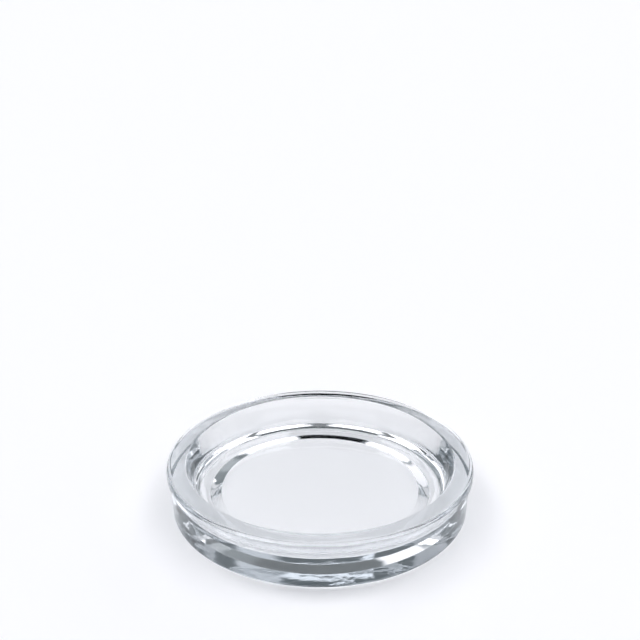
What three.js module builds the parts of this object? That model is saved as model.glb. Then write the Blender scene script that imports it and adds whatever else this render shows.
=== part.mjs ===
// Candle plate: a round dish of clear pressed glass that carries a pillar candle and catches its wax.
// It is one piece. Floor, wall, lip and foot ring are pressed together in one mould, in one stroke.
// Millimetres, +Z up. The origin is the centre of the foot, on the table.

import * as THREE from 'three';

// Overall
const PLATE_RADIUS = 55;
const PLATE_HEIGHT = 17.1;

// Lip: a band round the top that stands proud of the body, with a flat top and rounded edges
const LIP_DEPTH = 3.6;
const LIP_OVERHANG = 1.1;
const LIP_UNDERSIDE_RISE = 0.4;
const LIP_TOP_WIDTH = 7;
const LIP_OUTER_ROUND = 1.8;
const LIP_LOWER_ROUND = 0.6;
const LIP_INNER_ROUND = 0.8;
const LIP_NECK_ROUND = 0.4;

// Hollow: a wall with the draft that lets the plunger leave, and a round down to a flat floor
const HOLLOW_DRAFT = 4.1;
const FLOOR_THICKNESS = 4.4;
const FLOOR_ROUND = 5.8;

// Body: it draws in a little from the lip to the heel, so that it leaves the mould
const BODY_DRAFT = 0.5;
const HEEL_ROUND = 0.8;

// Foot: a flat ring at the bottom, round a shallow recess that keeps the middle off the table
const FOOT_INNER_RADIUS = 40;
const RECESS_DEPTH = 2;
const RECESS_SLOPE_WIDTH = 4.2;
const RECESS_ROUND = 0.4;

// Facets: how far one may lie from the true curve, and the straight that is left between two rounds
const FACET_DEPTH = 0.04;
const STRAIGHT_LEFT = 0.05;

// Steps that keep an arc of this radius and angle within the facet depth
function arcSteps(radius, angle) {
  const widestStep = 2 * Math.acos(1 - Math.min(FACET_DEPTH / radius, 1));
  return Math.max(2, Math.ceil(angle / widestStep));
}

// One corner of the section: its distance from the axis, its height and the radius that rounds it
function corner(radius, height, round = 0) {
  return { point: new THREE.Vector2(radius, height), round };
}

// How far along its two sides the round of a corner reaches, where they have room for it
function fullReach(before, { point, round }, after) {
  const toBefore = before.point.clone().sub(point);
  const toAfter = after.point.clone().sub(point);
  return round / Math.tan(toBefore.angleTo(toAfter) / 2);
}

// The arc that rounds a corner, from a point on the side before it to one on the side after it
function cornerArc(before, { point }, after, reach) {
  const toBefore = before.point.clone().sub(point);
  const toAfter = after.point.clone().sub(point);
  const halfAngle = toBefore.angleTo(toAfter) / 2;
  const start = toBefore.setLength(reach).add(point);
  const end = toAfter.setLength(reach).add(point);
  const middle = start.clone().add(end).divideScalar(2);
  const centre = middle.sub(point).setLength(reach / Math.cos(halfAngle)).add(point);
  const radius = reach * Math.tan(halfAngle);
  const fromCentre = start.clone().sub(centre);
  const toEnd = end.clone().sub(centre);
  const clockwise = fromCentre.cross(toEnd) < 0;
  const arc = new THREE.EllipseCurve(
    centre.x, centre.y, radius, radius, fromCentre.angle(), toEnd.angle(), clockwise);
  return arc.getPoints(arcSteps(radius, Math.PI - 2 * halfAngle));
}

// The outline through the corners, each rounded as far as the rounds beside it leave it room
function roundedOutline(corners) {
  const reaches = corners.map((here, i) =>
    here.round > 0 ? fullReach(corners[i - 1], here, corners[i + 1]) : 0);
  const room = corners.slice(1).map((here, i) => {
    const side = here.point.distanceTo(corners[i].point) - STRAIGHT_LEFT;
    return Math.min(1, side / (reaches[i] + reaches[i + 1]));
  });
  return corners.flatMap((here, i) => {
    const reach = reaches[i] * Math.min(room[i - 1] ?? 1, room[i] ?? 1);
    return reach > 0 ? cornerArc(corners[i - 1], here, corners[i + 1], reach) : [here.point];
  });
}

// The section from the middle of the underside, out round the foot, body and lip, and in over the floor
function plateSection() {
  const bodyRadius = PLATE_RADIUS - LIP_OVERHANG;
  const lipUnderside = PLATE_HEIGHT - LIP_DEPTH;
  const mouthRadius = PLATE_RADIUS - LIP_TOP_WIDTH;
  const floorHeight = RECESS_DEPTH + FLOOR_THICKNESS;
  return roundedOutline([
    corner(0, RECESS_DEPTH),
    corner(FOOT_INNER_RADIUS - RECESS_SLOPE_WIDTH, RECESS_DEPTH, RECESS_ROUND),
    corner(FOOT_INNER_RADIUS, 0, RECESS_ROUND),
    corner(bodyRadius - BODY_DRAFT, 0, HEEL_ROUND),
    corner(bodyRadius, lipUnderside, LIP_NECK_ROUND),
    corner(PLATE_RADIUS, lipUnderside + LIP_UNDERSIDE_RISE, LIP_LOWER_ROUND),
    corner(PLATE_RADIUS, PLATE_HEIGHT, LIP_OUTER_ROUND),
    corner(mouthRadius, PLATE_HEIGHT, LIP_INNER_ROUND),
    corner(mouthRadius - HOLLOW_DRAFT, floorHeight, FLOOR_ROUND),
    corner(0, floorHeight),
  ]);
}

// Clear soda-lime glass with a fire-polished surface
function clearGlass() {
  return new THREE.MeshStandardMaterial({
    color: 0xe6edee,
    roughness: 0.05,
    metalness: 0,
    transparent: true,
    opacity: 0.35,
  });
}

// The plate: the section turned about its axis, which three.js draws along Y
function glassPlate() {
  const facetsInQuarter = Math.ceil(arcSteps(PLATE_RADIUS, 2 * Math.PI) / 4);
  const geometry = new THREE.LatheGeometry(plateSection(), 4 * facetsInQuarter);
  const plate = new THREE.Mesh(geometry, clearGlass());
  plate.name = 'glass_plate';
  plate.rotation.x = Math.PI / 2;
  return plate;
}

const candlePlate = new THREE.Group();
candlePlate.add(glassPlate());

export default candlePlate;
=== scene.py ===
import math

import bpy
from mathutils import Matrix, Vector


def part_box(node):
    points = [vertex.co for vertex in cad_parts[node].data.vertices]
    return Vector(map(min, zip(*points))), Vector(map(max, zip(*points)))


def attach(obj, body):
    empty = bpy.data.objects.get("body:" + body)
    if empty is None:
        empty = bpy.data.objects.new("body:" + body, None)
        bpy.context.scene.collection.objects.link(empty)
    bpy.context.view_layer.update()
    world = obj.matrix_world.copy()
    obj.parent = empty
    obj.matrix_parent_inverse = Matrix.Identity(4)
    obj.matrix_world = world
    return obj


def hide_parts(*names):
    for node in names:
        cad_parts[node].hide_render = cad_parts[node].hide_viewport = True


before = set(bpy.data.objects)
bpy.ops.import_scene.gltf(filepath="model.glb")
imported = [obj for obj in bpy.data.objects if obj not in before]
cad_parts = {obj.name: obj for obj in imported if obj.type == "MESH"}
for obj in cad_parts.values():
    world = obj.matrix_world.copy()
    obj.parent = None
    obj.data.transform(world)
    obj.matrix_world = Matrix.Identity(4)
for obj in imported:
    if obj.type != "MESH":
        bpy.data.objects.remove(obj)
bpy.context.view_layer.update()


# Plate: the whole object, one piece of clear soda-lime glass. Hot glass is pressed between a mould,
# which shapes the foot, wall and lip, and a plunger, which shapes the hollow. A flame then polishes
# its edges round, and it keeps a faint ripple where it cooled against the iron.
_, plate_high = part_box("glass_plate")

plate_sizes = {
    "Plate radius": plate_high.x,
    "Plate height": plate_high.z,
    "Lip depth": 0.0036,
    "Lip overhang": 0.0011,
    "Lip underside rise": 0.0004,
    "Lip top width": 0.0070,
    "Lip outer round": 0.0018,
    "Lip lower round": 0.0006,
    "Lip inner round": 0.0008,
    "Lip neck round": 0.0004,
    "Hollow draft": 0.0041,
    "Floor thickness": 0.0044,
    "Floor round": 0.0058,
    "Body draft": 0.0005,
    "Heel round": 0.0008,
    "Foot inner radius": 0.0400,
    "Recess depth": 0.0020,
    "Recess slope width": 0.0042,
    "Recess round": 0.0004,
    "Longest step": 0.0025,
    "Swell depth": 0.00008,
    "Swell length": 0.0120,
    "Chill depth": 0.00010,
    "Chill length": 0.0040,
    "Chill patch length": 0.0300,
}
plate_counts = {
    "Steps in a round": 12,
    "Steps in a turn": 480,
    "Ripple seed": 5,
}


class Socket:
    """A node's output. Python's operators on it add Math nodes to its tree."""

    def __init__(self, nodes, output):
        self.nodes = nodes
        self.output = output

    def __add__(self, other):
        return self.nodes.math("ADD", self, other)

    def __radd__(self, other):
        return self.nodes.math("ADD", other, self)

    def __sub__(self, other):
        return self.nodes.math("SUBTRACT", self, other)

    def __rsub__(self, other):
        return self.nodes.math("SUBTRACT", other, self)

    def __mul__(self, other):
        return self.nodes.math("MULTIPLY", self, other)

    def __rmul__(self, other):
        return self.nodes.math("MULTIPLY", other, self)

    def __truediv__(self, other):
        return self.nodes.math("DIVIDE", self, other)

    def __rtruediv__(self, other):
        return self.nodes.math("DIVIDE", other, self)

    def __mod__(self, other):
        return self.nodes.math("MODULO", self, other)

    def __abs__(self):
        return self.nodes.math("ABSOLUTE", self)

    def called(self, name):
        """Another output of the same node."""
        return Socket(self.nodes, self.output.node.outputs[name])


class Nodes:
    """A node tree that is written as expressions."""

    def __init__(self, tree):
        self.tree = tree

    def add(self, kind, settings={}, sockets={}):
        """Adds a node with its settings and its sockets' values or links. Gives its first output."""
        node = self.tree.nodes.new(kind)
        for name, value in settings.items():
            setattr(node, name, value)
        self.feed(node, sockets)
        return Socket(self, node.outputs[0]) if node.outputs else None

    def feed(self, node, sockets):
        """Links or sets the sockets of a node, by name or number."""
        for name, value in sockets.items():
            if isinstance(value, Socket):
                self.tree.links.new(value.output, node.inputs[name])
            else:
                node.inputs[name].default_value = value

    def math(self, operation, *values):
        return self.add("ShaderNodeMath", {"operation": operation}, dict(enumerate(values)))

    def ramp(self, value, start, end):
        """0 at the start and 1 at the end, smoothly."""
        return self.add("ShaderNodeMapRange", {"interpolation_type": "SMOOTHSTEP"}, {
            "Value": value,
            "From Min": start,
            "From Max": end,
        })

    def blend(self, share, first, second):
        """The first colour at a share of 0, and the second at 1."""
        factor, colour_a, colour_b, colour_result = 0, 6, 7, 2
        mix = self.add("ShaderNodeMix", {"data_type": "RGBA"}, {
            factor: share,
            colour_a: first,
            colour_b: second,
        })
        return mix.called(colour_result)

    def point(self, x, y, z):
        return self.add("ShaderNodeCombineXYZ", {}, {"X": x, "Y": y, "Z": z})

    def pick(self, data_type, values):
        """The value with the number of the point that asks."""
        switch = self.tree.nodes.new("GeometryNodeIndexSwitch")
        switch.data_type = data_type
        while len(switch.index_switch_items) < len(values):
            switch.index_switch_items.new()
        self.feed(switch, {str(i): value for i, value in enumerate(values)})
        self.feed(switch, {"Index": self.add("GeometryNodeInputIndex")})
        return Socket(self, switch.outputs[0])


def plate_section(nodes, size):
    """The line from the underside's middle, out round foot, body and lip, and in over the floor."""
    body_radius = size["Plate radius"] - size["Lip overhang"]
    lip_underside = size["Plate height"] - size["Lip depth"]
    mouth_radius = size["Plate radius"] - size["Lip top width"]
    recess_radius = size["Foot inner radius"] - size["Recess slope width"]
    floor_height = size["Recess depth"] + size["Floor thickness"]
    corners = [
        (0.0, size["Recess depth"], 0.0),
        (recess_radius, size["Recess depth"], size["Recess round"]),
        (size["Foot inner radius"], 0.0, size["Recess round"]),
        (body_radius - size["Body draft"], 0.0, size["Heel round"]),
        (body_radius, lip_underside, size["Lip neck round"]),
        (size["Plate radius"], lip_underside + size["Lip underside rise"], size["Lip lower round"]),
        (size["Plate radius"], size["Plate height"], size["Lip outer round"]),
        (mouth_radius, size["Plate height"], size["Lip inner round"]),
        (mouth_radius - size["Hollow draft"], floor_height, size["Floor round"]),
        (0.0, floor_height, 0.0),
    ]
    line = nodes.add("GeometryNodeMeshLine", {}, {"Count": len(corners)})
    places = nodes.pick(
        "VECTOR", [nodes.point(radius, 0.0, height) for radius, height, _ in corners])
    line = nodes.add("GeometryNodeSetPosition", {}, {"Geometry": line, "Position": places})
    line = nodes.add("GeometryNodeMeshToCurve", {}, {"Mesh": line})
    line = nodes.add("GeometryNodeFilletCurve", {"mode": "POLY"}, {
        "Curve": line,
        "Count": size["Steps in a round"],
        "Radius": nodes.pick("FLOAT", [round for _, _, round in corners]),
        "Limit Radius": True,
    })
    here = nodes.add("GeometryNodeInputPosition")
    after = nodes.add("GeometryNodeFieldAtIndex", {"data_type": "FLOAT_VECTOR"}, {
        "Value": here,
        "Index": nodes.add("GeometryNodeInputIndex") + 1,
    })
    gap = nodes.add("ShaderNodeVectorMath", {"operation": "DISTANCE"}, {0: here, 1: after})
    line = nodes.add("GeometryNodeSubdivideCurve", {}, {
        "Curve": line,
        "Cuts": gap.called("Value") / size["Longest step"],
    })
    return nodes.add("GeometryNodeCurveToPoints", {"mode": "EVALUATED"}, {"Curve": line})


def turned(nodes, section, steps):
    """The section turned about the Z axis: each column of a grid is the section at one angle."""
    rows = nodes.add(
        "GeometryNodeAttributeDomainSize", {"component": "POINTCLOUD"}, {"Geometry": section})
    grid = nodes.add("GeometryNodeMeshGrid", {}, {"Vertices X": steps + 1, "Vertices Y": rows})
    index = nodes.add("GeometryNodeInputIndex")
    on_section = nodes.add("GeometryNodeSampleIndex", {"data_type": "FLOAT_VECTOR"}, {
        "Geometry": section,
        "Value": nodes.add("GeometryNodeInputPosition"),
        "Index": index % rows,
    })
    radius = nodes.add("ShaderNodeSeparateXYZ", {}, {0: on_section})
    angle = nodes.math("FLOOR", index / rows) * (2 * math.pi) / steps
    place = nodes.point(
        radius * nodes.math("COSINE", angle),
        radius * nodes.math("SINE", angle),
        radius.called("Z"))
    grid = nodes.add("GeometryNodeSetPosition", {}, {"Geometry": grid, "Position": place})
    return nodes.add("GeometryNodeMergeByDistance", {}, {"Geometry": grid, "Distance": 1e-6})


def rippled(nodes, plate, size):
    """The skin drawn in a little: a slow swell all over, and patches that the cold iron chilled."""
    here = nodes.add("GeometryNodeInputPosition")
    patch_begins, patch_full = 0.5, 0.6

    def waves(length, seed):
        return nodes.add("ShaderNodeTexNoise", {"noise_dimensions": "4D"}, {
            "Vector": here,
            "W": seed,
            "Scale": 1 / length,
            "Detail": 1.0,
        })

    swell = waves(size["Swell length"], size["Ripple seed"])
    patches = waves(size["Chill patch length"], size["Ripple seed"] + 1)
    patches = nodes.ramp(patches, patch_begins, patch_full)
    chill = waves(size["Chill length"], size["Ripple seed"] + 2) * patches
    height = nodes.add("ShaderNodeSeparateXYZ", {}, {0: here}).called("Z")
    above_foot = nodes.ramp(height, size["Recess depth"], size["Recess depth"] + size["Heel round"])
    depth = (swell * size["Swell depth"] + chill * size["Chill depth"]) * above_foot
    inward = nodes.add("ShaderNodeVectorMath", {"operation": "SCALE"}, {
        0: nodes.add("GeometryNodeInputNormal"),
        "Scale": 0 - depth,
    })
    return nodes.add("GeometryNodeSetPosition", {}, {"Geometry": plate, "Offset": inward})


def clear_glass():
    """Clear glass: a trace of iron dims and cools the light that goes a long way through it."""
    material = bpy.data.materials.new("clear_glass")
    material.use_nodes = True
    nodes = Nodes(material.node_tree)
    shader = material.node_tree.nodes["Principled BSDF"]
    place = nodes.add("ShaderNodeTexCoord").called("Object")
    orange_peel = nodes.add("ShaderNodeTexNoise", {}, {
        "Vector": place,
        "Scale": 260.0,
        "Detail": 2.0,
    })
    nodes.feed(shader, {
        "Base Color": (1.0, 1.0, 1.0, 1.0),
        "IOR": 1.52,
        "Transmission Weight": 1.0,
        "Roughness": 0.0,
        "Normal": nodes.add("ShaderNodeBump", {}, {
            "Strength": 0.05,
            "Distance": 0.0002,
            "Height": orange_peel,
        }),
    })
    tint = nodes.add("ShaderNodeVolumeAbsorption", {}, {
        "Color": (0.70, 0.73, 0.75, 1.0),
        "Density": 30.0,
    })
    nodes.feed(material.node_tree.nodes["Material Output"], {"Volume": tint})
    return material


plate_tree = bpy.data.node_groups.new("pressed_plate", "GeometryNodeTree")
plate_tree.interface.new_socket("Geometry", in_out="OUTPUT", socket_type="NodeSocketGeometry")
plate_inputs = {}
for names, socket_type in ((plate_sizes, "NodeSocketFloat"), (plate_counts, "NodeSocketInt")):
    for name in names:
        plate_inputs[name] = plate_tree.interface.new_socket(
            name, in_out="INPUT", socket_type=socket_type)

plate_nodes = Nodes(plate_tree)
given = plate_nodes.add("NodeGroupInput")
size = {name: given.called(name) for name in plate_inputs}
plate_mesh = turned(plate_nodes, plate_section(plate_nodes, size), size["Steps in a turn"])
plate_mesh = rippled(plate_nodes, plate_mesh, size)
plate_mesh = plate_nodes.add("GeometryNodeSetShadeSmooth", {}, {"Geometry": plate_mesh})
plate_mesh = plate_nodes.add("GeometryNodeRealizeInstances", {}, {"Geometry": plate_mesh})
plate_mesh = plate_nodes.add(
    "GeometryNodeSetMaterial", {}, {"Geometry": plate_mesh, "Material": clear_glass()})
plate_nodes.add("NodeGroupOutput", {}, {"Geometry": plate_mesh})

pattern = bpy.data.objects.new("plate_pattern", bpy.data.meshes.new("plate_pattern"))
bpy.context.scene.collection.objects.link(pattern)
press = pattern.modifiers.new("press", "NODES")
press.node_group = plate_tree
for name, value in (plate_sizes | plate_counts).items():
    press[plate_inputs[name].identifier] = value
pressed = pattern.evaluated_get(bpy.context.evaluated_depsgraph_get())
plate = bpy.data.objects.new("plate", bpy.data.meshes.new_from_object(pressed))
bpy.context.scene.collection.objects.link(plate)
bpy.data.objects.remove(pattern)
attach(plate, "root")
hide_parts("glass_plate")


# Table: the plain matt white surface that the plate stands on. It lies a hair below the foot, so that
# glass and table share no face.
table_half = 3.0
table_gap = 0.00005
table_mesh = bpy.data.meshes.new("table")
table_mesh.from_pydata(
    [(x * table_half, y * table_half, -table_gap) for x, y in ((-1, -1), (1, -1), (1, 1), (-1, 1))],
    [], [(0, 1, 2, 3)])
table = bpy.data.objects.new("table", table_mesh)
bpy.context.scene.collection.objects.link(table)
table_material = bpy.data.materials.new("white_table")
table_material.use_nodes = True
table_nodes = Nodes(table_material.node_tree)
table_nodes.feed(table_material.node_tree.nodes["Principled BSDF"], {
    "Base Color": (0.95, 0.95, 0.95, 1.0),
    "Roughness": 0.9,
    "Specular IOR Level": 0.0,
})
table_mesh.materials.append(table_material)


# Light: a plain studio, drawn on the sky round the plate. One soft box hangs overhead and four high
# round it. Low panels stand behind the plate with a black flag between them, and small fills stand
# round these. Azimuth 0 is on the right and 90 behind, in degrees. A box covers those before it.
room_brightness = 0.15
room_colour = (0.88, 1.0, 1.07, 1.0)
lamp_colour = (1.0, 0.995, 1.04, 1.0)
soft_boxes = [
    {"name": "overhead", "azimuth": 90, "elevation": 79.5,
     "half width": 20, "half height": 13, "edge": 4, "brightness": 3.1},
    {"name": "high behind, right", "azimuth": 30, "elevation": 55,
     "half width": 15, "half height": 11, "edge": 4, "brightness": 2.3},
    {"name": "high behind, left", "azimuth": 150, "elevation": 55,
     "half width": 15, "half height": 11, "edge": 4, "brightness": 2.9},
    {"name": "high in front, left", "azimuth": 226, "elevation": 52,
     "half width": 17, "half height": 12, "edge": 4, "brightness": 1.9},
    {"name": "high in front, right", "azimuth": 314, "elevation": 52,
     "half width": 17, "half height": 12, "edge": 4, "brightness": 2.1},
    {"name": "low fill, left", "azimuth": 176, "elevation": 18,
     "half width": 26, "half height": 14, "edge": 8, "brightness": 0.42},
    {"name": "low fill, right", "azimuth": 4, "elevation": 18,
     "half width": 26, "half height": 14, "edge": 8, "brightness": 1.1},
    {"name": "dim wall behind", "azimuth": 90, "elevation": 38,
     "half width": 40, "half height": 12, "edge": 5, "brightness": 0.28},
    {"name": "sliver above the left panel", "azimuth": 103.5, "elevation": 46,
     "half width": 2.4, "half height": 5, "edge": 1.2, "brightness": 1.1},
    {"name": "fill behind, right", "azimuth": 46, "elevation": 37,
     "half width": 6, "half height": 3.5, "edge": 1.5, "brightness": 0.9},
    {"name": "fill behind, left", "azimuth": 132, "elevation": 36,
     "half width": 9, "half height": 3.5, "edge": 1.5, "brightness": 0.9},
    {"name": "strip above the panels", "azimuth": 90, "elevation": 41,
     "half width": 13, "half height": 3.2, "edge": 1.2, "brightness": 2.3},
    {"name": "right panel", "azimuth": 68, "elevation": 12.5,
     "half width": 14, "half height": 13.5, "edge": 2, "brightness": 2.3},
    {"name": "column above the right panel", "azimuth": 71, "elevation": 39,
     "half width": 6, "half height": 11, "edge": 4, "brightness": 1.4},
    {"name": "fill above the left panel", "azimuth": 108, "elevation": 29,
     "half width": 8, "half height": 5, "edge": 3, "brightness": 0.55},
    {"name": "left panel", "azimuth": 99, "elevation": 12,
     "half width": 6, "half height": 12, "edge": 2, "brightness": 2.3},
    {"name": "foot of the left panel", "azimuth": 108, "elevation": 6,
     "half width": 10, "half height": 6, "edge": 2, "brightness": 2.3},
    {"name": "black flag", "azimuth": 87.8, "elevation": 14,
     "half width": 6.2, "half height": 15, "edge": 1.5, "brightness": 0.0},
    {"name": "low fill in front, right", "azimuth": 325, "elevation": 9,
     "half width": 25, "half height": 9, "edge": 7, "brightness": 0.6},
]


def soft_box(nodes, direction, level, box):
    """The light of the room with one more box in front of it."""
    turn = {"label": box["name"], "rotation_type": "EULER_XYZ", "invert": True}
    turned_to_box = nodes.add("ShaderNodeVectorRotate", turn, {
        "Vector": direction,
        "Rotation": (0.0, -math.radians(box["elevation"]), math.radians(box["azimuth"])),
    })
    ahead = nodes.add("ShaderNodeSeparateXYZ", {}, {0: turned_to_box})
    across = abs(nodes.math("ARCTAN2", ahead.called("Y"), ahead))
    up = abs(nodes.math("ARCSINE", ahead.called("Z")))
    half_width = math.radians(box["half width"])
    half_height = math.radians(box["half height"])
    half_edge = math.radians(box["edge"]) / 2
    cover = nodes.ramp(across, half_width + half_edge, half_width - half_edge)
    cover = cover * nodes.ramp(up, half_height + half_edge, half_height - half_edge)
    return level + (box["brightness"] - level) * cover


world = bpy.data.worlds.new("studio")
bpy.context.scene.world = world
world.use_nodes = True
sky = Nodes(world.node_tree)
direction = sky.add("ShaderNodeTexCoord")
level = room_brightness
for box in soft_boxes:
    level = soft_box(sky, direction, level, box)
colour = sky.blend(sky.ramp(level, room_brightness, 1.0), room_colour, lamp_colour)
sky.feed(world.node_tree.nodes["Background"], {"Color": colour, "Strength": level})
bpy.context.scene.cycles.blur_glossy = 0.0
bpy.context.scene.cycles.max_bounces = 24
bpy.context.scene.cycles.transmission_bounces = 24
bpy.context.scene.cycles.glossy_bounces = 16


# Camera: above the table in front of the plate, at the photograph's angle. It looks a little over the
# plate, which stands low in the frame.
camera_distance = 0.3595
camera_elevation = math.radians(32.27)
camera_pitch = math.radians(21.86)
camera_data = bpy.data.cameras.new("camera")
camera_data.sensor_width = 36.0
camera_data.lens = 54.1
camera_data.clip_start = 0.01
camera = bpy.data.objects.new("camera", camera_data)
camera.location = (
    0.0,
    -camera_distance * math.cos(camera_elevation),
    camera_distance * math.sin(camera_elevation))
camera.rotation_euler = (math.pi / 2 - camera_pitch, 0.0, 0.0)
bpy.context.scene.collection.objects.link(camera)
bpy.context.scene.camera = camera
bpy.context.scene.view_settings.view_transform = "Standard"
